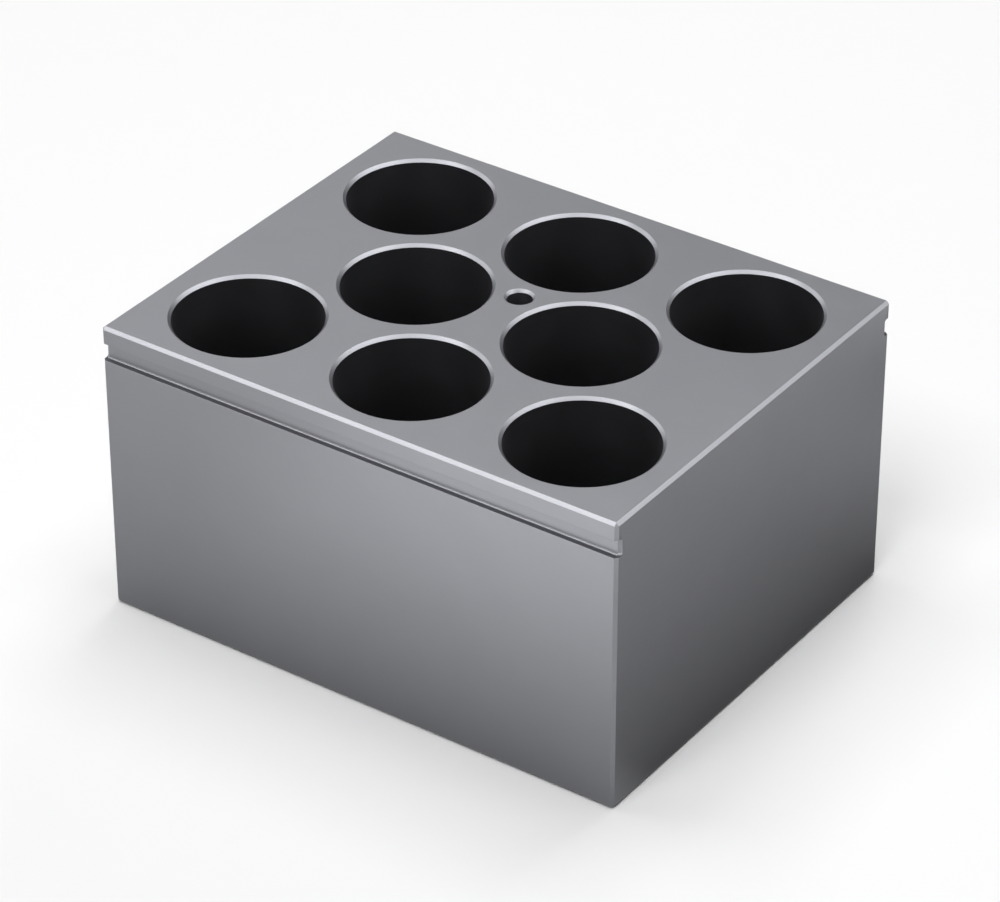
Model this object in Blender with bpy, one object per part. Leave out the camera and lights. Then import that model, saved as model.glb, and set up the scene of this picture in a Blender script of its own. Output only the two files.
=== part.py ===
"""Heat block insert: one machined and anodised aluminium block with staggered bores for vials.

Metres, +Z up. The origin is the centre of the underside, +X runs along the long side and +Y to
the back. The bores open upwards. The block is laid out around them: their diameter, and the metal
left between them and around them, give its footprint.
"""

import math

import bmesh
import bpy

# Bores: three in each outer row, and one fewer in the middle row, which sits in the gaps.
BORE_DIAMETER = 0.0238
OUTER_ROW_BORES = 3
COLUMN_WEB = 0.0072  # metal between two bores of one row
STAGGER_WEB = 0.00355  # metal between a bore and its nearest in the next row
END_WALL = 0.0046  # metal between the last bore of an outer row and the short side
SIDE_WALL = 0.0036  # metal between an outer row and the long side
FLOOR_THICKNESS = 0.0050  # metal under the bores
FLOOR_RADIUS = 0.0010  # corner that the boring tool leaves at the floor
MOUTH_CHAMFER = 0.0005

# Block
BLOCK_HEIGHT = 0.0512
EDGE_CHAMFER = 0.0005  # all outer edges but those of the grooves, at 45 degrees

# Groove along each long side, under the lip that it leaves at the top
LIP_HEIGHT = 0.0030
GROOVE_WIDTH = 0.0030
GROOVE_DEPTH = 0.00095
GROOVE_FILLET = 0.0003  # corner radius of the slot cutter

# Tapped hole for a lifting tool, with the wall of its tap drill: the thread is left out
TAP_DRILL_DIAMETER = 0.0041
TAP_DRILL_DEPTH = 0.0140  # down to the corner of the drill point
TAP_CHAMFER = 0.0005
DRILL_POINT_ANGLE = math.radians(118.0)

# Smoothness of the round forms
BORE_SEGMENTS = 64
TAP_SEGMENTS = 32
FILLET_SEGMENTS = 3
SHARP_ANGLE = math.radians(30.0)
CUTTER_OVERRUN = 0.0010  # how far a cutter stands out of the face that it enters

# Satin anodised aluminium, graphite grey
ALUMINIUM_COLOR = (0.300, 0.305, 0.318, 1.0)
ALUMINIUM_ROUGHNESS = 0.38

# Layout that follows from the sizes above
BORE_RADIUS = BORE_DIAMETER / 2
COLUMN_PITCH = BORE_DIAMETER + COLUMN_WEB
ROW_PITCH = math.sqrt((BORE_DIAMETER + STAGGER_WEB) ** 2 - (COLUMN_PITCH / 2) ** 2)
HALF_LENGTH = (OUTER_ROW_BORES - 1) * COLUMN_PITCH / 2 + BORE_RADIUS + END_WALL
HALF_DEPTH = ROW_PITCH + BORE_RADIUS + SIDE_WALL


def clear_scene():
    """Start from an empty scene."""
    for existing in list(bpy.data.objects):
        bpy.data.objects.remove(existing, do_unlink=True)


def row_positions(count):
    """X of each bore in a row of this many, centred on the block."""
    return [(index - (count - 1) / 2) * COLUMN_PITCH for index in range(count)]


def bore_centres():
    """X and Y of every bore: the outer rows in line, the middle row moved by half a pitch."""
    outer_row = row_positions(OUTER_ROW_BORES)
    middle_row = row_positions(OUTER_ROW_BORES - 1)
    centres = [(x, -ROW_PITCH) for x in outer_row]
    centres += [(x, 0.0) for x in middle_row]
    centres += [(x, ROW_PITCH) for x in outer_row]
    return centres


def tapped_hole_centre():
    """X and Y of the tapped hole, as far from two middle bores as from the back bore between them."""
    x = row_positions(OUTER_ROW_BORES)[OUTER_ROW_BORES // 2]
    half_pitch = COLUMN_PITCH / 2
    y = (ROW_PITCH**2 - half_pitch**2) / (2 * ROW_PITCH)
    return x, y


def arc(centre, radius, start, end):
    """Points of an arc in a plane, from one angle to another."""
    points = []
    for step in range(FILLET_SEGMENTS + 1):
        angle = start + (end - start) * step / FILLET_SEGMENTS
        points.append((centre[0] + radius * math.cos(angle), centre[1] + radius * math.sin(angle)))
    return points


def side_profile():
    """Inset and height of the long side at each level between the top and bottom chamfers."""
    lip_underside = BLOCK_HEIGHT - LIP_HEIGHT
    ledge = lip_underside - GROOVE_WIDTH
    centre_inset = GROOVE_DEPTH - GROOVE_FILLET
    quarter = math.pi / 2
    lower_corner = arc((centre_inset, ledge + GROOVE_FILLET), GROOVE_FILLET, -quarter, 0.0)
    upper_corner = arc((centre_inset, lip_underside - GROOVE_FILLET), GROOVE_FILLET, 0.0, quarter)
    profile = [(0.0, EDGE_CHAMFER), (0.0, ledge)]
    profile += lower_corner + upper_corner
    profile += [(0.0, lip_underside), (0.0, BLOCK_HEIGHT - EDGE_CHAMFER)]
    return profile


def outline(end_inset, side_inset, corner, height):
    """One level of the block: a rectangle with its corners cut, counter-clockwise from above.

    It starts with the edge on the right-hand short side.
    """
    x = HALF_LENGTH - end_inset
    y = HALF_DEPTH - side_inset
    return [
        (x, corner - y, height),
        (x, y - corner, height),
        (x - corner, y, height),
        (corner - x, y, height),
        (-x, y - corner, height),
        (-x, corner - y, height),
        (corner - x, -y, height),
        (x - corner, -y, height),
    ]


def join_levels(bm, lower, upper, edges):
    """Faces between two levels, along the numbered edges of their outlines."""
    for edge in edges:
        following = (edge + 1) % len(lower)
        bm.faces.new((lower[edge], lower[following], upper[following], upper[edge]))


def block_mesh():
    """The bar before boring: chamfered outer edges and a groove along each long side."""
    bm = bmesh.new()
    # A chamfer of the same width all round leaves this much of a cut corner at its inner edge.
    inner_corner = EDGE_CHAMFER * (math.sqrt(2) - 1)
    underside = outline(EDGE_CHAMFER, EDGE_CHAMFER, inner_corner, 0.0)
    top = outline(EDGE_CHAMFER, EDGE_CHAMFER, inner_corner, BLOCK_HEIGHT)
    walls = [outline(0.0, inset, EDGE_CHAMFER, height) for inset, height in side_profile()]
    rings = [[bm.verts.new(point) for point in level] for level in [underside] + walls + [top]]

    all_edges = range(len(underside))
    join_levels(bm, rings[0], rings[1], all_edges)
    join_levels(bm, rings[-2], rings[-1], all_edges)
    short_sides = (0, 4)
    other_edges = [edge for edge in all_edges if edge not in short_sides]
    wall_rings = rings[1:-1]
    for lower, upper in zip(wall_rings, wall_rings[1:]):
        join_levels(bm, lower, upper, other_edges)

    # Each short side is one flat face, notched where the grooves run out.
    for edge in short_sides:
        rising = [ring[edge + 1] for ring in wall_rings]
        falling = [ring[edge] for ring in reversed(wall_rings)]
        bm.faces.new(rising + falling)
    bm.faces.new(list(reversed(rings[0])))
    bm.faces.new(rings[-1])
    return finish_mesh("heat_block", bm)


def turned_mesh(name, profile, segments):
    """A closed solid turned about Z from (radius, height) points, which start and end on the axis."""
    bm = bmesh.new()
    chain = [bm.verts.new((radius, 0.0, height)) for radius, height in profile]
    edges = [bm.edges.new(pair) for pair in zip(chain, chain[1:])]
    bmesh.ops.spin(
        bm,
        geom=chain + edges,
        axis=(0.0, 0.0, 1.0),
        cent=(0.0, 0.0, 0.0),
        angle=2 * math.pi,
        steps=segments,
        use_merge=True,
        use_duplicate=False,
    )
    bmesh.ops.remove_doubles(bm, verts=bm.verts, dist=1e-6)
    return finish_mesh(name, bm)


def finish_mesh(name, bm):
    """Point the faces outwards and turn the bmesh into a mesh."""
    bmesh.ops.recalc_face_normals(bm, faces=bm.faces)
    mesh = bpy.data.meshes.new(name)
    bm.to_mesh(mesh)
    bm.free()
    return mesh


def bore_cutter_mesh():
    """What one bore takes away: chamfered mouth, straight wall and a flat floor with a round corner."""
    floor = FLOOR_THICKNESS
    corner_centre = (BORE_RADIUS - FLOOR_RADIUS, floor + FLOOR_RADIUS)
    profile = [(0.0, floor)]
    profile += arc(corner_centre, FLOOR_RADIUS, -math.pi / 2, 0.0)
    profile.append((BORE_RADIUS, BLOCK_HEIGHT - MOUTH_CHAMFER))
    profile.append((BORE_RADIUS + MOUTH_CHAMFER + CUTTER_OVERRUN, BLOCK_HEIGHT + CUTTER_OVERRUN))
    profile.append((0.0, BLOCK_HEIGHT + CUTTER_OVERRUN))
    return turned_mesh("bore_cutter", profile, BORE_SEGMENTS)


def tap_drill_mesh():
    """What the tapped hole takes away: countersunk mouth, drilled wall and drill point."""
    radius = TAP_DRILL_DIAMETER / 2
    shoulder = BLOCK_HEIGHT - TAP_DRILL_DEPTH
    point_length = radius / math.tan(DRILL_POINT_ANGLE / 2)
    profile = [
        (0.0, shoulder - point_length),
        (radius, shoulder),
        (radius, BLOCK_HEIGHT - TAP_CHAMFER),
        (radius + TAP_CHAMFER + CUTTER_OVERRUN, BLOCK_HEIGHT + CUTTER_OVERRUN),
        (0.0, BLOCK_HEIGHT + CUTTER_OVERRUN),
    ]
    return turned_mesh("tap_drill", profile, TAP_SEGMENTS)


def add_cutter(collection, name, mesh, centre):
    """Place a cutter on its axis. It is a guide only, so it isn't rendered."""
    cutter = bpy.data.objects.new(name, mesh)
    cutter.location = (centre[0], centre[1], 0.0)
    cutter.display_type = "WIRE"
    cutter.hide_render = True
    collection.objects.link(cutter)


def add_cutters():
    """All the cutters, in a collection of their own."""
    collection = bpy.data.collections.new("cutters")
    bpy.context.scene.collection.children.link(collection)
    bore_mesh = bore_cutter_mesh()
    for number, centre in enumerate(bore_centres(), start=1):
        add_cutter(collection, f"bore_cutter_{number}", bore_mesh, centre)
    add_cutter(collection, "tap_drill", tap_drill_mesh(), tapped_hole_centre())
    return collection


def bore_out(block, cutters):
    """Take the cutters away from the block, then shade its round walls smooth."""
    boring = block.modifiers.new("boring", "BOOLEAN")
    boring.operation = "DIFFERENCE"
    boring.solver = "EXACT"
    boring.operand_type = "COLLECTION"
    boring.collection = cutters
    evaluated = block.evaluated_get(bpy.context.evaluated_depsgraph_get())
    bored_mesh = bpy.data.meshes.new_from_object(evaluated)
    block.modifiers.remove(boring)
    block.data = bored_mesh
    bored_mesh.name = block.name
    bored_mesh.shade_smooth()
    bored_mesh.set_sharp_from_angle(angle=SHARP_ANGLE)


def anodised_aluminium():
    """Satin grey anodised aluminium."""
    material = bpy.data.materials.new("anodised_aluminium")
    material.use_nodes = True
    material.diffuse_color = ALUMINIUM_COLOR
    shader = material.node_tree.nodes["Principled BSDF"]
    shader.inputs["Base Color"].default_value = ALUMINIUM_COLOR
    shader.inputs["Metallic"].default_value = 1.0
    shader.inputs["Roughness"].default_value = ALUMINIUM_ROUGHNESS
    return material


def main():
    clear_scene()
    block = bpy.data.objects.new("heat_block", block_mesh())
    bpy.context.scene.collection.objects.link(block)
    block.data.materials.append(anodised_aluminium())
    bore_out(block, add_cutters())


main()
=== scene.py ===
"""The look of the heat block insert: one block of satin anodised aluminium with staggered bores.

The file is laid out as an add-on and is run as a script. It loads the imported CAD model, replaces its
block by a finer one with softly broken edges and a real thread, and stands it in a white studio.
Lengths are in metres, +Z is up and the origin is the centre of the underside.
"""

import math

import bmesh
import bpy
from bpy.props import FloatProperty, FloatVectorProperty, IntProperty, PointerProperty
from bpy.types import Operator, Panel, PropertyGroup
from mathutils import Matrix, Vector
from numpy import interp


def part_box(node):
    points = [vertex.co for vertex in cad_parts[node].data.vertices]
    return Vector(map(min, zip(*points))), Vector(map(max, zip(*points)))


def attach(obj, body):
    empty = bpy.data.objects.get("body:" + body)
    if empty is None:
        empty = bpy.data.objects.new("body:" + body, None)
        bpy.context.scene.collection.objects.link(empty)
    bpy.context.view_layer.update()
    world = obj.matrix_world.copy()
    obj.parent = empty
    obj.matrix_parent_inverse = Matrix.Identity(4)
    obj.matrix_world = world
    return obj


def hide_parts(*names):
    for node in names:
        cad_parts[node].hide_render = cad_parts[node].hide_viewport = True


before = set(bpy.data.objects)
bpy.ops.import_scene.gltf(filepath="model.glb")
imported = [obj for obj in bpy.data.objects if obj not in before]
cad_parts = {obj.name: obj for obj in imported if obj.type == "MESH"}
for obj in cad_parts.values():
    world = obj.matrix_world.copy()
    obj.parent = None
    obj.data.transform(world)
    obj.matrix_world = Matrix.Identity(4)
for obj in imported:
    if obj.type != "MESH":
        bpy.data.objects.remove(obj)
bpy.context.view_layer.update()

bl_info = {
    "name": "Heat block insert",
    "version": (1, 0, 0),
    "blender": (4, 5, 0),
    "location": "3D View > Sidebar > Heat block",
    "description": "Machines an anodised aluminium heat block insert and lights it in a white studio",
    "category": "Object",
}

BLOCK_NODE = "heat_block"
block_low, block_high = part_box(BLOCK_NODE)

LAND = 0.00015  # flat margin that swept and turned surfaces keep before the flat faces start
WELD_DISTANCE = 0.000001  # points that are closer than this become one
SAME_PLACE = 0.0000001  # lengths that differ by less than this count as equal

# Straight pieces that each rounded corner is drawn with, in the outline and in the three sections
OUTLINE_ROUNDING = 3
BAR_ROUNDING = 4
BORE_ROUNDING = 6
HOLE_ROUNDING = 4
ARC_MIDDLE = 1 - math.cos(math.pi / 4)  # height of a quarter arc's middle, in parts of its radius

# Thread form, in parts of its pitch, and the rows that draw the thread and the step above it
CREST_FLAT = 1 / 4
ROOT_FLAT = 1 / 8
WALL_ROWS = 200
STEP_ROWS = 3

# How much painted shade each place takes, from 0 to 1: a darker tone for the shade on the ledges under
# the lips and in the holes
LEDGE_PAINTED_SHADE = 1.0
BORE_PAINTED_SHADE = 0.67

NOISE_LOW, NOISE_HIGH = 0.25, 0.75  # nearly all of a noise pattern lies between these

# Soft boxes by name: direction as azimuth from +X and elevation in degrees, width and height in
# metres, and how bright each looks where a white world looks 1. The strengths were fitted until each
# surface was about as bright as in the photograph. These light the metal:
METAL_LIGHTS = {
    "soft_box_high_right": (7, 58, 0.50, 0.55, 2.65),
    "soft_box_low_right": (7, 28, 0.80, 0.50, 2.4),
    "soft_box_high_right_back": (52, 58, 0.50, 0.55, 3.6),
    "soft_box_low_right_back": (52, 34, 0.75, 0.60, 1.6),
    "soft_box_high_back": (97, 58, 0.50, 0.55, 2.75),
    "soft_box_high_left_back": (142, 58, 0.50, 0.55, 2.45),
    "soft_box_low_left_back": (142, 20, 0.85, 0.36, 0.95),
    "soft_box_low_left": (187, 25, 0.82, 0.56, 1.85),
    "soft_box_middle_left_front": (232, 38, 0.70, 0.36, 3.25),
    "soft_box_high_left_front": (232, 56, 0.50, 0.36, 3.25),
    "soft_box_high_front": (277, 58, 0.50, 0.55, 2.35),
    "soft_box_low_front": (277, 28, 0.80, 0.50, 2.35),
    "soft_box_high_right_front": (322, 58, 0.50, 0.55, 1.95),
}

# These light the paper, mostly from high above, so that its shadows stay close to the block:
PAPER_LIGHTS = {
    "paper_light_right": (7, 77, 0.40, 0.40, 4.9),
    "paper_light_back": (97, 70, 0.45, 0.45, 5.6),
    "paper_light_low_back": (97, 28, 0.80, 0.50, 2.1),
    "paper_light_left_back": (142, 58, 0.50, 0.55, 2.2),
    "paper_light_left": (187, 70, 0.45, 0.45, 5.4),
    "paper_light_front": (277, 58, 0.50, 0.55, 9.4),
}

# How bright the metal sees the floor, by the distance from the block in metres. These levels were
# fitted in the same way: mostly dim beside the block and bright far out, but no real floor's.
CARD_DISTANCES = (0.002, 0.012, 0.026, 0.046, 0.059, 0.075, 0.097, 0.130, 0.185, 0.310, 0.800)
CARD_LEFT = (0.53, 0.47, 0.53, 0.65, 0.67, 0.57, 0.70, 0.81, 0.95, 1.33, 1.89)
CARD_FRONT = (0.30, 0.43, 0.57, 0.92, 1.31, 1.45, 1.50, 1.43, 1.49, 1.83, 2.35)
CARD_CORNER = (0.35, 0.53, 0.59, 0.71, 0.24, 0.06, 1.25, 1.09, 0.81, 2.80, 5.70)
CARD_RIGHT_BACK = (0.11, 0.19, 0.27, 0.44, 0.20, 0.00, 0.43, 1.30, 2.50, 3.10, 1.20)
CARD_LEFT_END, CARD_FRONT_START = -0.060, -0.040  # where along X the left changes to the front
CARD_TURN = 0.014  # width of the changes at the other corners
CARD_DEPTH = 0.0003  # how far the card lies under the floor

# Lines across the card: how far outside the block's side they lie, and steps from middle to side
CARD_STEPS = (0.0, 0.002, 0.004, 0.007, 0.010, 0.014, 0.019, 0.025, 0.032, 0.040, 0.050, 0.062,
              0.076, 0.095, 0.12, 0.15, 0.19, 0.24, 0.31, 0.40, 0.60, 1.0, 3.0)
CARD_INNER_STEPS = 6

# Socket that the tree gets for each type of value
SOCKETS = {
    float: "NodeSocketFloat",
    int: "NodeSocketInt",
    bpy.types.Material: "NodeSocketMaterial",
}


def linear(hex_colour):
    """A colour that is written as an sRGB hex value, as the linear colour that a shader takes."""
    channels = [int(hex_colour[start : start + 2], 16) / 255 for start in (1, 3, 5)]
    bright = [c / 12.92 if c <= 0.04045 else ((c + 0.055) / 1.055) ** 2.4 for c in channels]
    return (*bright, 1.0)


# Sizes, finish and studio, as a user would change them


class BlockSizes(PropertyGroup):
    """Outer form of the block"""

    length: FloatProperty(
        name="Length",
        description="Overall length along X",
        default=block_high.x - block_low.x, subtype="DISTANCE", unit="LENGTH",
    )
    depth: FloatProperty(
        name="Depth",
        description="Overall depth along Y",
        default=block_high.y - block_low.y, subtype="DISTANCE", unit="LENGTH",
    )
    height: FloatProperty(
        name="Height",
        description="Overall height",
        default=block_high.z - block_low.z, subtype="DISTANCE", unit="LENGTH",
    )
    edge_chamfer: FloatProperty(
        name="Edge chamfer",
        description="Width of the 45 degree chamfer on all outer edges but those of the grooves",
        default=0.0005, subtype="DISTANCE", unit="LENGTH",
    )
    edge_radius: FloatProperty(
        name="Edge radius",
        description="Radius that blasting and anodising leave on every machined edge",
        default=0.00006, subtype="DISTANCE", unit="LENGTH",
    )
    lip_height: FloatProperty(
        name="Lip height",
        description="Height of the lip above each groove",
        default=0.0030, subtype="DISTANCE", unit="LENGTH",
    )
    groove_width: FloatProperty(
        name="Groove width",
        description="Height of the groove along each long side",
        default=0.0030, subtype="DISTANCE", unit="LENGTH",
    )
    groove_depth: FloatProperty(
        name="Groove depth",
        description="Depth of the groove along each long side",
        default=0.00095, subtype="DISTANCE", unit="LENGTH",
    )
    groove_fillet: FloatProperty(
        name="Groove fillet",
        description="Corner radius that the slot cutter leaves",
        default=0.00045, subtype="DISTANCE", unit="LENGTH",
    )


class BoreSizes(PropertyGroup):
    """The bores for the vials and their pattern"""

    outer_row_count: IntProperty(
        name="Bores in an outer row",
        description="Number of bores in each outer row; the middle row has one fewer",
        default=3, min=2,
    )
    diameter: FloatProperty(
        name="Bore diameter",
        description="Diameter of each bore",
        default=0.0238, subtype="DISTANCE", unit="LENGTH",
    )
    column_web: FloatProperty(
        name="Column web",
        description="Metal between two bores of one row",
        default=0.0072, subtype="DISTANCE", unit="LENGTH",
    )
    stagger_web: FloatProperty(
        name="Stagger web",
        description="Metal between a bore and its nearest in the next row",
        default=0.00355, subtype="DISTANCE", unit="LENGTH",
    )
    floor_thickness: FloatProperty(
        name="Floor thickness",
        description="Metal under each bore",
        default=0.0050, subtype="DISTANCE", unit="LENGTH",
    )
    floor_radius: FloatProperty(
        name="Floor radius",
        description="Corner radius at the floor of each bore",
        default=0.0010, subtype="DISTANCE", unit="LENGTH",
    )
    mouth_chamfer: FloatProperty(
        name="Mouth chamfer",
        description="Width of the chamfer round each bore",
        default=0.0005, subtype="DISTANCE", unit="LENGTH",
    )
    segments: IntProperty(
        name="Bore segments",
        description="Number of flats that each bore is drawn with",
        default=144, min=16,
    )


class TappedHoleSizes(PropertyGroup):
    """The tapped hole for a lifting tool"""

    entry_diameter: FloatProperty(
        name="Entry diameter",
        description="Diameter of the plain entry above the thread",
        default=0.0041, subtype="DISTANCE", unit="LENGTH",
    )
    entry_depth: FloatProperty(
        name="Entry depth",
        description="Depth at which the thread starts",
        default=0.0032, subtype="DISTANCE", unit="LENGTH",
    )
    drill_diameter: FloatProperty(
        name="Drill diameter",
        description="Diameter of the drilled wall, which is the thread's inner diameter",
        default=0.0033, subtype="DISTANCE", unit="LENGTH",
    )
    drill_depth: FloatProperty(
        name="Drill depth",
        description="Depth down to the corner of the drill point",
        default=0.0140, subtype="DISTANCE", unit="LENGTH",
    )
    point_angle: FloatProperty(
        name="Drill point angle",
        description="Full angle of the drill point",
        default=math.radians(118.0), subtype="ANGLE", unit="ROTATION",
    )
    thread_diameter: FloatProperty(
        name="Thread diameter",
        description="Outer diameter of the thread",
        default=0.0040, subtype="DISTANCE", unit="LENGTH",
    )
    thread_pitch: FloatProperty(
        name="Thread pitch",
        description="Rise of the thread in one turn",
        default=0.0007, subtype="DISTANCE", unit="LENGTH",
    )
    thread_depth: FloatProperty(
        name="Thread depth",
        description="Depth to which the hole is tapped",
        default=0.0115, subtype="DISTANCE", unit="LENGTH",
    )
    mouth_chamfer: FloatProperty(
        name="Mouth chamfer",
        description="Width of the countersink's chamfer",
        default=0.0004, subtype="DISTANCE", unit="LENGTH",
    )
    countersink_depth: FloatProperty(
        name="Countersink depth",
        description="Depth of the countersink's chamfer",
        default=0.0005, subtype="DISTANCE", unit="LENGTH",
    )
    segments: IntProperty(
        name="Hole segments",
        description="Number of flats that the hole is drawn with",
        default=56, min=16,
    )


class AnodisedFinish(PropertyGroup):
    """The satin anodised finish"""

    light_tone: FloatVectorProperty(
        name="Light tone",
        description="Graphite grey where the dye took least",
        default=linear("#a1a2a7"), size=4, subtype="COLOR", min=0.0, max=1.0,
    )
    dark_tone: FloatVectorProperty(
        name="Dark tone",
        description="Graphite grey where the dye took most",
        default=linear("#9d9ea3"), size=4, subtype="COLOR", min=0.0, max=1.0,
    )
    # Painted shade: a darker grey put on the bores and the ledges under the lips, for the shade that
    # falls in them.
    painted_shade_tone: FloatVectorProperty(
        name="Painted shade tone",
        description="Darker grey of the bores and the ledges, which the blasting doesn't reach",
        default=linear("#5f5f63"), size=4, subtype="COLOR", min=0.0, max=1.0,
    )
    tone_patch: FloatProperty(
        name="Tone patch",
        description="Width of the patches in which the tone drifts",
        default=0.009, subtype="DISTANCE", unit="LENGTH",
    )
    smoothest: FloatProperty(
        name="Smoothest",
        description="Roughness where handling has rubbed the surface",
        default=0.385, subtype="FACTOR", min=0.0, max=1.0,
    )
    roughest: FloatProperty(
        name="Roughest",
        description="Roughness where the surface is as blasted",
        default=0.415, subtype="FACTOR", min=0.0, max=1.0,
    )
    rubbed_patch: FloatProperty(
        name="Rubbed patch",
        description="Width of the patches that handling has rubbed",
        default=0.004, subtype="DISTANCE", unit="LENGTH",
    )
    grain_size: FloatProperty(
        name="Grain size",
        description="Width of the dimples that blasting leaves",
        default=0.00022, subtype="DISTANCE", unit="LENGTH",
    )
    grain_depth: FloatProperty(
        name="Grain depth",
        description="Depth of the dimples that blasting leaves",
        default=0.0000012, subtype="DISTANCE", unit="LENGTH",
    )


class StudioSettings(PropertyGroup):
    """Floor, light and camera"""

    floor_colour: FloatVectorProperty(
        name="Floor colour",
        description="Colour of the paper that the block stands on",
        default=linear("#e7e7e7"), size=4, subtype="COLOR", min=0.0, max=1.0,
    )
    brightness: FloatProperty(
        name="Brightness",
        description="Strength of all the lights together",
        default=1.0, min=0.0,
    )
    surroundings: FloatProperty(
        name="Surroundings",
        description="Brightness of the room between the soft boxes",
        default=0.14, min=0.0,
    )
    light_distance: FloatProperty(
        name="Light distance",
        description="Distance of the soft boxes from the block",
        default=1.2, subtype="DISTANCE", unit="LENGTH",
    )
    paper_radius: FloatProperty(
        name="Paper radius",
        description="Distance at which the paper has faded into the white of the studio wall",
        default=0.60, subtype="DISTANCE", unit="LENGTH",
    )
    wall_distance: FloatProperty(
        name="Wall distance",
        description="Distance of the white studio wall",
        default=3.0, subtype="DISTANCE", unit="LENGTH",
    )
    camera_location: FloatVectorProperty(
        name="Camera location",
        description="Where the camera stands",
        default=(0.33497, -0.47816, 0.40458), subtype="XYZ", unit="LENGTH",
    )
    camera_rotation: FloatVectorProperty(
        name="Camera rotation",
        description="Which way the camera looks",
        default=(math.radians(57.0328), math.radians(-0.013), math.radians(34.985)),
        subtype="EULER",
        unit="ROTATION",
    )
    focal_length: FloatProperty(
        name="Focal length",
        description="Focal length of the camera's lens",
        default=159.75, subtype="DISTANCE_CAMERA", unit="CAMERA",
    )


# Nodes


def feed(tree, socket, source):
    """Link an input to an output or to a node's first output, or set it to a plain value."""
    if isinstance(source, bpy.types.Node):
        source = source.outputs[0]
    if isinstance(source, bpy.types.NodeSocket):
        tree.links.new(source, socket)
    else:
        socket.default_value = source


def add_node(tree, kind, sockets=None, **settings):
    """Add a node with its settings, and feed its inputs, which are given by name or number."""
    node = tree.nodes.new(kind)
    for name, value in settings.items():
        setattr(node, name, value)
    for key, value in (sockets or {}).items():
        for source in value if isinstance(value, list) else [value]:
            feed(tree, node.inputs[key], source)
    return node


def by_index(tree, data_type, values):
    """A field that gives each point of a line its own value from a list, and zero past its end."""
    switch = add_node(tree, "GeometryNodeIndexSwitch", data_type=data_type)
    while len(switch.index_switch_items) < len(values):
        switch.index_switch_items.new()
    index = add_node(tree, "GeometryNodeInputIndex")
    for number, value in enumerate([index, *values]):
        feed(tree, switch.inputs[number], value)
    return switch


def section_line(tree, points, radii, segments):
    """A line through points of three values each, with its corners rounded to the radii."""
    places = [add_node(tree, "ShaderNodeCombineXYZ", dict(enumerate(point))) for point in points]
    row = add_node(tree, "GeometryNodeMeshLine", {"Count": len(points)})
    placed = add_node(
        tree, "GeometryNodeSetPosition", {"Geometry": row, "Position": by_index(tree, "VECTOR", places)}
    )
    line = add_node(tree, "GeometryNodeMeshToCurve", {"Mesh": placed})
    return add_node(
        tree,
        "GeometryNodeFilletCurve",
        {"Curve": line, "Count": segments, "Radius": by_index(tree, "FLOAT", radii)},
        mode="POLY",
    )


def remembered(tree, line, **values):
    """A line that carries these values of its points along, and the values as it carries them."""
    keeper = add_node(tree, "GeometryNodeCaptureAttribute", {"Geometry": line})
    for name, value in values.items():
        keeper.capture_items.new("VECTOR", name)
        feed(tree, keeper.inputs[name], value)
    return [keeper.outputs[0]] + [keeper.outputs[name] for name in values]


def swept(tree, path, section, place):
    """The surface that a section makes along a path, with each point put in its true place."""
    surface = add_node(tree, "GeometryNodeCurveToMesh", {"Curve": path, "Profile Curve": section})
    return add_node(tree, "GeometryNodeSetPosition", {"Geometry": surface, "Position": place})


def filled(tree, surface, chosen):
    """A flat face at height zero, inside the open edges of a surface that are chosen by a field."""
    faces_at_edge = add_node(tree, "GeometryNodeInputMeshEdgeNeighbors")
    is_open = add_node(
        tree, "FunctionNodeCompare", {2: faces_at_edge, 3: 1}, data_type="INT", operation="EQUAL"
    )
    both = add_node(tree, "FunctionNodeBooleanMath", {0: is_open, 1: chosen})
    rim = add_node(tree, "GeometryNodeMeshToCurve", {"Mesh": surface, "Selection": both})
    return add_node(tree, "GeometryNodeFillCurve", {"Curve": rim})


def marked_for_painted_shade(tree, surface, chosen, share):
    """A surface with the chosen faces marked for painted shade: 0 is none and 1 is the full darker
    tone.
    """
    return add_node(
        tree,
        "GeometryNodeStoreNamedAttribute",
        {"Geometry": surface, "Selection": chosen, "Name": "unblasted", "Value": share},
        data_type="FLOAT",
        domain="FACE",
    )


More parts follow.
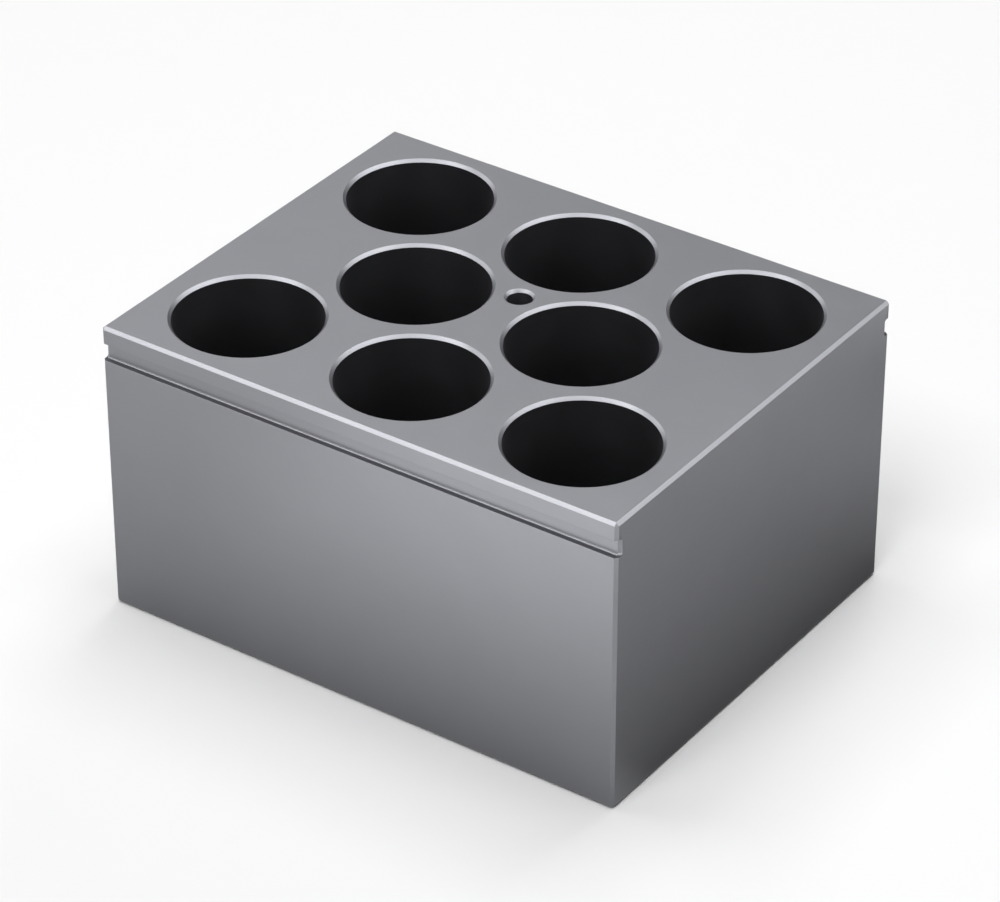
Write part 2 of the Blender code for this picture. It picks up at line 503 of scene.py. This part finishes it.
def bar_sides(tree, size):
    """The sides of the bar with chamfers and grooves, open at the top, underside and short sides."""
    chamfer, groove, height = size["Edge Chamfer"], size["Groove Depth"], size["Height"]
    edge, fillet = size["Edge Radius"], size["Groove Fillet"]
    lip = add_node(tree, "ShaderNodeMath", {0: height, 1: size["Lip Height"]}, operation="SUBTRACT")
    ledge = add_node(tree, "ShaderNodeMath", {0: lip, 1: size["Groove Width"]}, operation="SUBTRACT")
    shoulder = add_node(tree, "ShaderNodeMath", {0: height, 1: chamfer}, operation="SUBTRACT")
    land = add_node(tree, "ShaderNodeMath", {0: chamfer, 1: LAND}, operation="ADD")

    # Each point of the section is how far the chamfers set all sides in, how far the groove sets
    # the long sides in, and the height.
    section = section_line(
        tree,
        [
            (land, 0.0, 0.0),
            (chamfer, 0.0, 0.0),
            (0.0, 0.0, chamfer),
            (0.0, 0.0, ledge),
            (0.0, groove, ledge),
            (0.0, groove, lip),
            (0.0, 0.0, lip),
            (0.0, 0.0, shoulder),
            (chamfer, 0.0, height),
            (land, 0.0, height),
        ],
        [0.0, edge, edge, edge, fillet, fillet, edge, edge, edge, 0.0],
        BAR_ROUNDING,
    )

    # The path is the outline with its corners cut off, and each cut softened at both ends.
    rectangle = add_node(
        tree,
        "GeometryNodeCurvePrimitiveQuadrilateral",
        {"Width": size["Length"], "Height": size["Depth"]},
    )
    cut_off = add_node(
        tree,
        "GeometryNodeFilletCurve",
        {"Curve": rectangle, "Count": 1, "Radius": chamfer},
        mode="POLY",
    )
    softened = add_node(
        tree,
        "GeometryNodeFilletCurve",
        {"Curve": cut_off, "Count": OUTLINE_ROUNDING, "Radius": edge},
        mode="POLY",
    )
    position = add_node(tree, "GeometryNodeInputPosition")
    quarter = add_node(tree, "ShaderNodeVectorMath", {0: position}, operation="SIGN")
    extent = add_node(tree, "ShaderNodeCombineXYZ", {"X": size["Length"], "Y": size["Depth"]})
    half_extent = add_node(tree, "ShaderNodeVectorMath", {0: extent, "Scale": 0.5}, operation="SCALE")
    from_centre = add_node(tree, "ShaderNodeVectorMath", {0: position}, operation="ABSOLUTE")
    cut = add_node(tree, "ShaderNodeVectorMath", {0: half_extent, 1: from_centre}, operation="SUBTRACT")
    path, quarter, cut = remembered(tree, softened, quarter=quarter, cut=cut)
    section, level = remembered(tree, section, level=position)

    # The cut corners close to a point where the chamfers reach the top and the underside.
    level_parts = add_node(tree, "ShaderNodeSeparateXYZ", {0: level}).outputs
    closing = add_node(
        tree,
        "ShaderNodeMapRange",
        {"Value": level_parts["X"], "From Max": chamfer, "To Min": 1.0, "To Max": 0.0},
    )
    both_insets = add_node(
        tree, "ShaderNodeMath", {0: level_parts["X"], 1: level_parts["Y"]}, operation="ADD"
    )
    inset = add_node(tree, "ShaderNodeCombineXYZ", {"X": level_parts["X"], "Y": both_insets})
    all_inset = add_node(
        tree, "ShaderNodeVectorMath", {0: cut, 1: closing, 2: inset}, operation="MULTIPLY_ADD"
    )
    reach = add_node(tree, "ShaderNodeVectorMath", {0: half_extent, 1: all_inset}, operation="SUBTRACT")
    upright = add_node(tree, "ShaderNodeCombineXYZ", {"Z": level_parts["Z"]})
    place = add_node(
        tree, "ShaderNodeVectorMath", {0: quarter, 1: reach, 2: upright}, operation="MULTIPLY_ADD"
    )
    sides = swept(tree, path, section, place)

    # Painted shade: the flat ledge under the lip and the lower half of its fillet lie in the lip's
    # shade, so they get the darker tone.
    half_fillet = add_node(
        tree, "ShaderNodeMath", {0: fillet, 1: ARC_MIDDLE, 2: ledge}, operation="MULTIPLY_ADD"
    )
    at_ledge = add_node(
        tree, "FunctionNodeCompare", {0: level_parts["Z"], 1: half_fillet}, operation="LESS_THAN"
    )
    in_groove = add_node(
        tree, "FunctionNodeCompare", {0: level_parts["Y"], 1: LAND}, operation="GREATER_THAN"
    )
    on_ledge = add_node(tree, "FunctionNodeBooleanMath", {0: at_ledge, 1: in_groove})
    sides = marked_for_painted_shade(tree, sides, on_ledge, LEDGE_PAINTED_SHADE)

    # The flat of each short side comes out, to be filled in one piece with the notches of the grooves.
    cut_parts = add_node(tree, "ShaderNodeSeparateXYZ", {0: cut}).outputs
    off_the_flat = add_node(
        tree, "ShaderNodeMath", {0: cut_parts["X"], 1: level_parts["X"]}, operation="ADD"
    )
    on_the_flat = add_node(
        tree, "FunctionNodeCompare", {0: off_the_flat, 1: SAME_PLACE}, operation="LESS_THAN"
    )
    opened = add_node(
        tree, "GeometryNodeDeleteGeometry", {"Geometry": sides, "Selection": on_the_flat}, domain="FACE"
    )
    return add_node(tree, "GeometryNodeFlipFaces", {"Mesh": opened})


def short_sides(tree, size, sides):
    """The two flat short sides, filled in while they lie turned into the ground plane."""
    turned = add_node(
        tree, "GeometryNodeTransform", {"Geometry": sides, "Rotation": (0.0, -math.pi / 2, 0.0)}
    )
    position = add_node(tree, "GeometryNodeInputPosition")
    height = add_node(tree, "ShaderNodeSeparateXYZ", {0: position}).outputs["Z"]
    half_length = add_node(tree, "ShaderNodeMath", {0: size["Length"], 1: 0.5}, operation="MULTIPLY")
    almost = add_node(tree, "ShaderNodeMath", {0: half_length, 1: SAME_PLACE}, operation="SUBTRACT")
    at_the_end = add_node(tree, "FunctionNodeCompare", {0: height, 1: almost}, operation="GREATER_THAN")
    flat = filled(tree, turned, at_the_end)
    offset = add_node(tree, "ShaderNodeCombineXYZ", {"X": half_length})
    right = add_node(
        tree,
        "GeometryNodeTransform",
        {"Geometry": flat, "Rotation": (0.0, math.pi / 2, 0.0), "Translation": offset},
    )
    left = add_node(tree, "GeometryNodeTransform", {"Geometry": right, "Rotation": (0.0, 0.0, math.pi)})
    return [right, left]


def turned_surface(tree, section, segments, bulge=None):
    """The surface that a section of radius and height makes when it is turned about Z.

    The bulge is a function that makes the radius from the direction, the radius and the height.
    """
    position = add_node(tree, "GeometryNodeInputPosition")
    circle = add_node(tree, "GeometryNodeCurvePrimitiveCircle", {"Resolution": segments, "Radius": 1.0})
    path, direction = remembered(tree, circle, direction=position)
    section, level = remembered(tree, section, level=position)
    level_parts = add_node(tree, "ShaderNodeSeparateXYZ", {0: level}).outputs
    radius = level_parts["X"]
    if bulge:
        radius = bulge(direction, radius, level_parts["Z"])
    upright = add_node(tree, "ShaderNodeCombineXYZ", {"Z": level_parts["Z"]})
    place = add_node(
        tree, "ShaderNodeVectorMath", {0: direction, 1: radius, 2: upright}, operation="MULTIPLY_ADD"
    )
    return swept(tree, path, section, place)


def bore(tree, size):
    """One bore on the Z axis: round floor corner, straight wall and chamfered mouth."""
    height, chamfer, edge = size["Height"], size["Mouth Chamfer"], size["Edge Radius"]
    radius = add_node(tree, "ShaderNodeMath", {0: size["Bore Diameter"], 1: 0.5}, operation="MULTIPLY")
    mouth = add_node(tree, "ShaderNodeMath", {0: radius, 1: chamfer}, operation="ADD")
    land = add_node(tree, "ShaderNodeMath", {0: mouth, 1: LAND}, operation="ADD")
    throat = add_node(tree, "ShaderNodeMath", {0: height, 1: chamfer}, operation="SUBTRACT")
    floor = size["Floor Thickness"]
    section = section_line(
        tree,
        [
            (0.0, 0.0, floor),
            (radius, 0.0, floor),
            (radius, 0.0, throat),
            (mouth, 0.0, height),
            (land, 0.0, height),
        ],
        [0.0, size["Floor Radius"], edge, edge, 0.0],
        BORE_ROUNDING,
    )
    return turned_surface(tree, section, size["Bore Segments"])


def bores(tree, size):
    """A bore on each point of three rows: the middle row has one fewer, in the gaps of the others."""
    pitch, count = size["Column Pitch"], size["Bores in Outer Row"]
    rows = []
    for side in (-1, 0, 1):
        gaps = add_node(tree, "ShaderNodeMath", {0: count, 1: 1 if side else 2}, operation="SUBTRACT")
        span = add_node(tree, "ShaderNodeMath", {0: gaps, 1: pitch}, operation="MULTIPLY")
        start_x = add_node(tree, "ShaderNodeMath", {0: span, 1: -0.5}, operation="MULTIPLY")
        row_y = add_node(tree, "ShaderNodeMath", {0: size["Row Pitch"], 1: side}, operation="MULTIPLY")
        start = add_node(tree, "ShaderNodeCombineXYZ", {"X": start_x, "Y": row_y})
        bores_in_row = add_node(tree, "ShaderNodeMath", {0: gaps, 1: 1.0}, operation="ADD")
        step = add_node(tree, "ShaderNodeCombineXYZ", {"X": pitch})
        row = add_node(
            tree,
            "GeometryNodeMeshLine",
            {"Count": bores_in_row, "Start Location": start, "Offset": step},
        )
        rows.append(row)
    pattern = add_node(tree, "GeometryNodeJoinGeometry", {0: rows})
    placed = add_node(
        tree, "GeometryNodeInstanceOnPoints", {"Points": pattern, "Instance": bore(tree, size)}
    )
    return add_node(tree, "GeometryNodeRealizeInstances", {0: placed})


def tapped_hole(tree, size):
    """The tapped hole: countersunk, plain at first, and threaded below that."""
    height, chamfer, edge = size["Height"], size["Hole Chamfer"], size["Edge Radius"]
    pitch = size["Thread Pitch"]
    radius = add_node(tree, "ShaderNodeMath", {0: size["Drill Diameter"], 1: 0.5}, operation="MULTIPLY")
    entry = add_node(tree, "ShaderNodeMath", {0: size["Entry Diameter"], 1: 0.5}, operation="MULTIPLY")
    step = add_node(tree, "ShaderNodeMath", {0: height, 1: size["Entry Depth"]}, operation="SUBTRACT")
    mouth = add_node(tree, "ShaderNodeMath", {0: entry, 1: chamfer}, operation="ADD")
    land = add_node(tree, "ShaderNodeMath", {0: mouth, 1: LAND}, operation="ADD")
    throat = add_node(
        tree, "ShaderNodeMath", {0: height, 1: size["Countersink Depth"]}, operation="SUBTRACT"
    )
    shoulder = add_node(
        tree, "ShaderNodeMath", {0: height, 1: size["Drill Depth"]}, operation="SUBTRACT"
    )
    point = add_node(
        tree, "ShaderNodeMath", {0: shoulder, 1: size["Point Length"]}, operation="SUBTRACT"
    )
    line = section_line(
        tree,
        [
            (0.0, 0.0, point),
            (radius, 0.0, shoulder),
            (radius, 0.0, step),
            (entry, 0.0, step),
            (entry, 0.0, throat),
            (mouth, 0.0, height),
            (land, 0.0, height),
        ],
        [0.0, 0.0, 0.0, 0.0, edge, edge, 0.0],
        HOLE_ROUNDING,
    )
    # The wall and the step above it need rows close enough to draw the thread, and nothing else does.
    rows = by_index(tree, "INT", [0, WALL_ROWS, STEP_ROWS])
    section = add_node(tree, "GeometryNodeSubdivideCurve", {"Curve": line, "Cuts": rows})

    def threaded(direction, wall, level):
        """Radius where the thread is cut deeper than the wall, and the wall's own radius elsewhere."""
        parts = add_node(tree, "ShaderNodeSeparateXYZ", {0: direction}).outputs
        angle = add_node(tree, "ShaderNodeMath", {0: parts["Y"], 1: parts["X"]}, operation="ARCTAN2")
        turn = add_node(tree, "ShaderNodeMath", {0: angle, 1: 2 * math.pi}, operation="DIVIDE")
        rise = add_node(tree, "ShaderNodeMath", {0: level, 1: pitch}, operation="DIVIDE")
        phase = add_node(tree, "ShaderNodeMath", {0: rise, 1: turn}, operation="SUBTRACT")
        # Zero in the middle of the crest and half in the middle of the root.
        from_crest = add_node(tree, "ShaderNodeMath", {0: phase, 1: 0.5}, operation="PINGPONG")
        full_depth = add_node(
            tree,
            "ShaderNodeMath",
            {0: size["Thread Diameter"], 1: size["Drill Diameter"]},
            operation="SUBTRACT",
        )
        half_depth = add_node(tree, "ShaderNodeMath", {0: full_depth, 1: 0.5}, operation="MULTIPLY")
        flank = add_node(
            tree,
            "ShaderNodeMapRange",
            {
                "Value": from_crest,
                "From Min": CREST_FLAT / 2,
                "From Max": 0.5 - ROOT_FLAT / 2,
                "To Max": half_depth,
            },
        )
        tap_end = add_node(
            tree, "ShaderNodeMath", {0: height, 1: size["Thread Depth"]}, operation="SUBTRACT"
        )
        run_out = add_node(tree, "ShaderNodeMath", {0: tap_end, 1: pitch}, operation="ADD")
        fade = add_node(
            tree, "ShaderNodeMapRange", {"Value": level, "From Min": tap_end, "From Max": run_out}
        )
        thread = add_node(
            tree, "ShaderNodeMath", {0: flank, 1: fade, 2: radius}, operation="MULTIPLY_ADD"
        )
        deeper = add_node(tree, "ShaderNodeMath", {0: wall, 1: thread}, operation="MAXIMUM")
        # The drill point is below the thread and keeps its own radius.
        in_point = add_node(tree, "FunctionNodeCompare", {0: level, 1: shoulder}, operation="LESS_THAN")
        return add_node(
            tree, "GeometryNodeSwitch", {0: in_point, "False": deeper, "True": wall}, input_type="FLOAT"
        )

    hole = turned_surface(tree, section, size["Hole Segments"], threaded)
    spot = add_node(tree, "ShaderNodeCombineXYZ", {"Y": size["Hole Offset"]})
    return add_node(tree, "GeometryNodeTransform", {"Geometry": hole, "Translation": spot})


def bored_block_tree(values):
    """Geometry nodes that machine the whole block, with an input for each of these values."""
    tree = bpy.data.node_groups.new("bored_block", "GeometryNodeTree")
    tree.is_modifier = True
    tree.interface.new_socket("Geometry", in_out="OUTPUT", socket_type="NodeSocketGeometry")
    for name, value in values.items():
        tree.interface.new_socket(name, in_out="INPUT", socket_type=SOCKETS[type(value)])
    size = add_node(tree, "NodeGroupInput").outputs

    sides = bar_sides(tree, size)
    holes = add_node(
        tree, "GeometryNodeJoinGeometry", {0: [bores(tree, size), tapped_hole(tree, size)]}
    )
    position = add_node(tree, "GeometryNodeInputPosition")
    level = add_node(tree, "ShaderNodeSeparateXYZ", {0: position}).outputs["Z"]
    throat = add_node(
        tree, "ShaderNodeMath", {0: size["Height"], 1: size["Mouth Chamfer"]}, operation="SUBTRACT"
    )
    inside = add_node(tree, "FunctionNodeCompare", {0: level, 1: throat}, operation="LESS_THAN")
    # Painted shade: the walls and floors of the holes below the mouth chamfers take the darker tone,
    # for the shade inside them.
    holes = marked_for_painted_shade(tree, holes, inside, BORE_PAINTED_SHADE)
    parts = [sides, *short_sides(tree, size, sides), holes]
    open_block = add_node(tree, "GeometryNodeJoinGeometry", {0: parts})
    welded = add_node(
        tree, "GeometryNodeMergeByDistance", {"Geometry": open_block, "Distance": WELD_DISTANCE}
    )

    halfway = add_node(tree, "ShaderNodeMath", {0: size["Height"], 1: 0.5}, operation="MULTIPLY")
    at_the_top = add_node(tree, "FunctionNodeCompare", {0: level, 1: halfway}, operation="GREATER_THAN")
    below = add_node(tree, "FunctionNodeCompare", {0: level, 1: halfway}, operation="LESS_THAN")
    upright = add_node(tree, "ShaderNodeCombineXYZ", {"Z": size["Height"]})
    top = add_node(
        tree,
        "GeometryNodeTransform",
        {"Geometry": filled(tree, welded, at_the_top), "Translation": upright},
    )
    underside = add_node(tree, "GeometryNodeFlipFaces", {"Mesh": filled(tree, welded, below)})
    closed = add_node(tree, "GeometryNodeJoinGeometry", {0: [welded, top, underside]})
    one_piece = add_node(
        tree, "GeometryNodeMergeByDistance", {"Geometry": closed, "Distance": WELD_DISTANCE}
    )
    smooth = add_node(tree, "GeometryNodeSetShadeSmooth", {"Geometry": one_piece})
    real = add_node(tree, "GeometryNodeRealizeInstances", {"Geometry": smooth})
    finished = add_node(
        tree, "GeometryNodeSetMaterial", {"Geometry": real, "Material": size["Material"]}
    )
    add_node(tree, "NodeGroupOutput", {0: finished})
    return tree


def block_sizes(scene):
    """The sizes for the tree by the names of its inputs, with what follows from them worked out."""
    block, pattern, hole = scene.block_sizes, scene.bore_sizes, scene.tapped_hole_sizes
    column_pitch = pattern.diameter + pattern.column_web
    row_pitch = math.sqrt((pattern.diameter + pattern.stagger_web) ** 2 - (column_pitch / 2) ** 2)
    # The tapped hole is as far from two middle bores as from the back bore between them.
    hole_offset = (row_pitch**2 - (column_pitch / 2) ** 2) / (2 * row_pitch)
    return {
        "Length": block.length,
        "Depth": block.depth,
        "Height": block.height,
        "Edge Chamfer": block.edge_chamfer,
        "Edge Radius": block.edge_radius,
        "Lip Height": block.lip_height,
        "Groove Width": block.groove_width,
        "Groove Depth": block.groove_depth,
        "Groove Fillet": block.groove_fillet,
        "Bores in Outer Row": pattern.outer_row_count,
        "Bore Diameter": pattern.diameter,
        "Column Pitch": column_pitch,
        "Row Pitch": row_pitch,
        "Floor Thickness": pattern.floor_thickness,
        "Floor Radius": pattern.floor_radius,
        "Mouth Chamfer": pattern.mouth_chamfer,
        "Bore Segments": pattern.segments,
        "Hole Offset": hole_offset,
        "Entry Diameter": hole.entry_diameter,
        "Entry Depth": hole.entry_depth,
        "Drill Diameter": hole.drill_diameter,
        "Drill Depth": hole.drill_depth,
        "Point Length": hole.drill_diameter / 2 / math.tan(hole.point_angle / 2),
        "Thread Diameter": hole.thread_diameter,
        "Thread Pitch": hole.thread_pitch,
        "Thread Depth": hole.thread_depth,
        "Hole Chamfer": hole.mouth_chamfer,
        "Countersink Depth": hole.countersink_depth,
        "Hole Segments": hole.segments,
    }


# Materials


def satin_anodised_aluminium(finish):
    """Aluminium, milled, blasted with fine glass beads and anodised in graphite grey.

    Blasting scatters the light into a soft satin sheen without a direction, and the dyed oxide takes
    two thirds off the metal's brightness and leaves it slightly cool. The eye sees broad gradients
    from edge to edge, with only a faint drift in tone and a grain that is almost too fine to see.
    """
    material = bpy.data.materials.new("satin_anodised_aluminium")
    material.use_nodes = True
    tree = material.node_tree
    shader = tree.nodes["Principled BSDF"]
    shader.inputs["Metallic"].default_value = 1.0
    place = add_node(tree, "ShaderNodeTexCoord").outputs["Object"]

    # The dye and the oxide vary a little with the bath, over patches of several millimetres.
    drift = add_node(
        tree,
        "ShaderNodeTexNoise",
        {"Vector": place, "Scale": 1 / finish.tone_patch, "Detail": 3.0, "Roughness": 0.45},
    )
    tone = add_node(
        tree,
        "ShaderNodeMix",
        {"Factor": drift, 6: finish.dark_tone, 7: finish.light_tone},
        data_type="RGBA",
    )
    # Painted shade: the bores and the ledges under the lips are mixed towards a darker grey, for the
    # shade that falls in them.
    unblasted = add_node(tree, "ShaderNodeAttribute", attribute_name="unblasted")
    colour = add_node(
        tree,
        "ShaderNodeMix",
        {"Factor": unblasted.outputs["Fac"], 6: tone.outputs[2], 7: finish.painted_shade_tone},
        data_type="RGBA",
    )
    feed(tree, shader.inputs["Base Color"], colour.outputs[2])

    handling = add_node(
        tree,
        "ShaderNodeTexNoise",
        {"Vector": place, "Scale": 1 / finish.rubbed_patch, "Detail": 4.0, "Roughness": 0.55},
    )
    sheen = add_node(
        tree,
        "ShaderNodeMapRange",
        {
            "Value": handling,
            "From Min": NOISE_LOW,
            "From Max": NOISE_HIGH,
            "To Min": finish.smoothest,
            "To Max": finish.roughest,
        },
    )
    feed(tree, shader.inputs["Roughness"], sheen)

    # Real dimples are about 0.05 mm wide: they are drawn a few times wider, or none would show.
    dimples = add_node(
        tree,
        "ShaderNodeTexNoise",
        {"Vector": place, "Scale": 1 / finish.grain_size, "Detail": 2.0, "Roughness": 0.5},
    )
    grain = add_node(
        tree, "ShaderNodeBump", {"Height": dimples, "Distance": finish.grain_depth, "Strength": 1.0}
    )
    feed(tree, shader.inputs["Normal"], grain)
    return material


def matt_white_paper(studio):
    """Matt white background paper, which scatters evenly and takes soft shadows.

    Further out it is lit through from behind, so that it ends in the same white as the wall.
    """
    material = bpy.data.materials.new("matt_white_paper")
    material.use_nodes = True
    tree = material.node_tree
    shader = tree.nodes["Principled BSDF"]
    shader.inputs["Base Color"].default_value = studio.floor_colour
    shader.inputs["Roughness"].default_value = 0.9
    shader.inputs["Specular IOR Level"].default_value = 0.0
    place = add_node(tree, "ShaderNodeTexCoord").outputs["Object"]
    distance = add_node(tree, "ShaderNodeVectorMath", {0: place}, operation="LENGTH")
    fade = add_node(
        tree,
        "ShaderNodeMapRange",
        {
            "Value": distance.outputs["Value"],
            "From Min": studio.paper_radius / 2,
            "From Max": studio.paper_radius,
        },
        interpolation_type="SMOOTHSTEP",
    )
    backlight = add_node(tree, "ShaderNodeEmission")
    blend = add_node(tree, "ShaderNodeMixShader", {0: fade, 1: shader, 2: backlight})
    output = tree.nodes["Material Output"]
    feed(tree, output.inputs["Surface"], blend)
    return material


def glowing_white(name, strength=None):
    """A plain white glow, as even as a lit wall, or as strong as the mesh says at each point."""
    material = bpy.data.materials.new(name)
    material.use_nodes = True
    tree = material.node_tree
    tree.nodes.remove(tree.nodes["Principled BSDF"])
    glow = add_node(tree, "ShaderNodeEmission")
    if strength:
        level = add_node(tree, "ShaderNodeAttribute", attribute_name=strength)
        feed(tree, glow.inputs["Strength"], level.outputs["Fac"])
    feed(tree, tree.nodes["Material Output"].inputs["Surface"], glow)
    material.cycles.emission_sampling = "NONE"
    return material


# Studio


def ease(value, start, end):
    """Zero before the start, one after the end, and a smooth change between them."""
    share = min(max((value - start) / (end - start), 0.0), 1.0)
    return share * share * (3 - 2 * share)


def card_glow(x, y):
    """How bright the floor looks to the metal at one place."""
    distance = math.hypot(max(abs(x) - block_high.x, 0.0), max(abs(y) - block_high.y, 0.0))
    left, front, corner, right_back = (
        interp(distance, CARD_DISTANCES, levels)
        for levels in (CARD_LEFT, CARD_FRONT, CARD_CORNER, CARD_RIGHT_BACK)
    )
    in_front = ease(-y, block_high.y - CARD_TURN, block_high.y)
    on_the_left = ease(-x, block_high.x, block_high.x + CARD_TURN)
    on_the_right = ease(x, block_high.x - CARD_TURN, block_high.x)
    near = left + (front - left) * ease(x, CARD_LEFT_END, CARD_FRONT_START)
    near += (corner - near) * on_the_right
    return near + (right_back - near) * (1 - in_front) * (1 - on_the_left)


def grid_lines(half):
    """Where the card's lines lie in one direction: close together near the block's side."""
    outside = [half + step for step in CARD_STEPS]
    steps = range(1 - CARD_INNER_STEPS, CARD_INNER_STEPS)
    inside = [half * step / CARD_INNER_STEPS for step in steps]
    return [-line for line in reversed(outside)] + inside + outside


def grid_mesh(name, xs, ys, height):
    """A flat grid of faces on these lines."""
    points = [(x, y, height) for y in ys for x in xs]
    wide = len(xs)
    faces = [
        (corner, corner + 1, corner + wide + 1, corner + wide)
        for row in range(len(ys) - 1)
        for corner in range(row * wide, row * wide + wide - 1)
    ]
    mesh = bpy.data.meshes.new(name)
    mesh.from_pydata(points, [], faces)
    return mesh


def put_on_stage(scene, name, mesh, material, unseen_by):
    """Add a piece of the studio that some kinds of rays don't see."""
    mesh.materials.append(material)
    piece = bpy.data.objects.new(name, mesh)
    scene.collection.objects.link(piece)
    for ray in unseen_by:
        setattr(piece, f"visible_{ray}", False)


def lay_floor(scene, studio):
    """The white paper, and the card under it that the metal sees in the paper's place."""
    half = studio.wall_distance
    paper = grid_mesh("floor", (-half, half), (-half, half), 0.0)
    put_on_stage(scene, "floor", paper, matt_white_paper(studio), ["glossy"])
    xs, ys = grid_lines(block_high.x), grid_lines(block_high.y)
    card = grid_mesh("reflection_card", xs, ys, -CARD_DEPTH)
    glow = card.attributes.new("glow", "FLOAT", "POINT")
    for vertex, level in zip(card.vertices, glow.data):
        level.value = card_glow(vertex.co.x, vertex.co.y) * studio.brightness
    put_on_stage(
        scene,
        "reflection_card",
        card,
        glowing_white("graded_white_card", "glow"),
        ["camera", "diffuse", "transmission", "shadow"],
    )


def raise_wall(scene, studio):
    """The white room all round, which only the camera sees."""
    bm = bmesh.new()
    bmesh.ops.create_uvsphere(bm, u_segments=48, v_segments=24, radius=studio.wall_distance)
    wall = bpy.data.meshes.new("wall")
    bm.to_mesh(wall)
    bm.free()
    put_on_stage(
        scene,
        "wall",
        wall,
        glowing_white("lit_white_wall"),
        ["glossy", "diffuse", "transmission", "shadow"],
    )


def hang_lights(scene, studio, lights, unseen_by):
    """Soft boxes, turned towards the middle of the block, that some kinds of rays don't see."""
    middle = Vector((0.0, 0.0, (block_low.z + block_high.z) / 2))
    for name, (azimuth, elevation, width, height, glow) in lights.items():
        lamp = bpy.data.lights.new(name, "AREA")
        lamp.shape = "RECTANGLE"
        lamp.size, lamp.size_y = width, height
        lamp.energy = math.pi * width * height * glow * studio.brightness
        soft_box = bpy.data.objects.new(name, lamp)
        around, up = math.radians(azimuth), math.radians(elevation)
        away = Vector((math.cos(up) * math.cos(around), math.cos(up) * math.sin(around), math.sin(up)))
        soft_box.location = middle + away * studio.light_distance
        soft_box.rotation_euler = away.to_track_quat("Z", "Y").to_euler()
        for ray in unseen_by:
            setattr(soft_box, f"visible_{ray}", False)
        scene.collection.objects.link(soft_box)


def dim_room(scene, studio):
    """What is left of the room between the soft boxes."""
    room = bpy.data.worlds.new("dim_room")
    room.use_nodes = True
    background = room.node_tree.nodes["Background"].inputs
    background["Color"].default_value = linear("#ffffff")
    background["Strength"].default_value = studio.surroundings * studio.brightness
    scene.world = room


def set_up_camera(scene, studio):
    """The camera at the photograph's angle."""
    lens = bpy.data.cameras.new("camera")
    lens.lens = studio.focal_length
    camera = bpy.data.objects.new("camera", lens)
    camera.location = studio.camera_location
    camera.rotation_euler = studio.camera_rotation
    scene.collection.objects.link(camera)
    scene.camera = camera
    scene.view_settings.view_transform = "Standard"


# Operators


class OBJECT_OT_heat_block(Operator):
    """Machine the block with its bores, grooves and tapped hole, and give it its finish"""

    bl_idname = "object.heat_block"
    bl_label = "Machine the block"
    bl_options = {"REGISTER", "UNDO"}

    def execute(self, context):
        scene = context.scene
        finish = satin_anodised_aluminium(scene.anodised_finish)
        values = {**block_sizes(scene), "Material": finish}
        tree = bored_block_tree(values)
        block = bpy.data.objects.new("anodised_block", bpy.data.meshes.new("blank"))
        scene.collection.objects.link(block)
        machining = block.modifiers.new("bored_block", "NODES")
        machining.node_group = tree
        for item in tree.interface.items_tree:
            if item.in_out == "INPUT":
                machining[item.identifier] = values[item.name]
        block.modifiers.new("flat_faces_stay_flat", "WEIGHTED_NORMAL")
        evaluated = block.evaluated_get(context.evaluated_depsgraph_get())
        mesh = bpy.data.meshes.new_from_object(evaluated)
        block.modifiers.clear()
        block.data = mesh
        mesh.name = block.name
        if not mesh.polygons:
            raise RuntimeError("the nodes made no block")
        # The joined surfaces leave an empty material slot before the one that is set.
        mesh.materials.clear()
        mesh.materials.append(finish)
        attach(block, "root")
        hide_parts(BLOCK_NODE)
        return {"FINISHED"}


class SCENE_OT_studio(Operator):
    """Lay the floor, raise the wall, hang the lights and set up the camera"""

    bl_idname = "scene.heat_block_studio"
    bl_label = "Set up the studio"
    bl_options = {"REGISTER", "UNDO"}

    def execute(self, context):
        scene = context.scene
        studio = scene.studio_settings
        lay_floor(scene, studio)
        raise_wall(scene, studio)
        hang_lights(scene, studio, METAL_LIGHTS, ["camera", "diffuse"])
        hang_lights(scene, studio, PAPER_LIGHTS, ["camera", "glossy"])
        dim_room(scene, studio)
        set_up_camera(scene, studio)
        if scene.camera is None:
            raise RuntimeError("the studio has no camera")
        return {"FINISHED"}


# Panel


class VIEW3D_PT_heat_block(Panel):
    """The steps and their settings, in the sidebar"""

    bl_idname = "VIEW3D_PT_heat_block"
    bl_label = "Heat block insert"
    bl_space_type = "VIEW_3D"
    bl_region_type = "UI"
    bl_category = "Heat block"

    def draw(self, context):
        for operator, groups in STEPS.items():
            column = self.layout.box().column()
            for group in groups:
                settings = getattr(context.scene, group)
                for name in settings.__annotations__:
                    column.prop(settings, name)
            column.operator(operator)


# What each operator reads, in the order in which they run
STEPS = {
    OBJECT_OT_heat_block.bl_idname: (
        "block_sizes",
        "bore_sizes",
        "tapped_hole_sizes",
        "anodised_finish",
    ),
    SCENE_OT_studio.bl_idname: ("studio_settings",),
}

SETTINGS = {
    "block_sizes": BlockSizes,
    "bore_sizes": BoreSizes,
    "tapped_hole_sizes": TappedHoleSizes,
    "anodised_finish": AnodisedFinish,
    "studio_settings": StudioSettings,
}

CLASSES = (*SETTINGS.values(), OBJECT_OT_heat_block, SCENE_OT_studio, VIEW3D_PT_heat_block)


def register():
    """Make the settings, the operators and the panel known to Blender."""
    for each in CLASSES:
        bpy.utils.register_class(each)
    for name, group in SETTINGS.items():
        setattr(bpy.types.Scene, name, PointerProperty(type=group))


def unregister():
    """Take them out again."""
    for name in SETTINGS:
        delattr(bpy.types.Scene, name)
    for each in reversed(CLASSES):
        bpy.utils.unregister_class(each)


def main():
    """Machine the block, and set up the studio."""
    register()
    bpy.ops.object.heat_block()
    bpy.ops.scene.heat_block_studio()


if __name__ == "__main__":
    main()
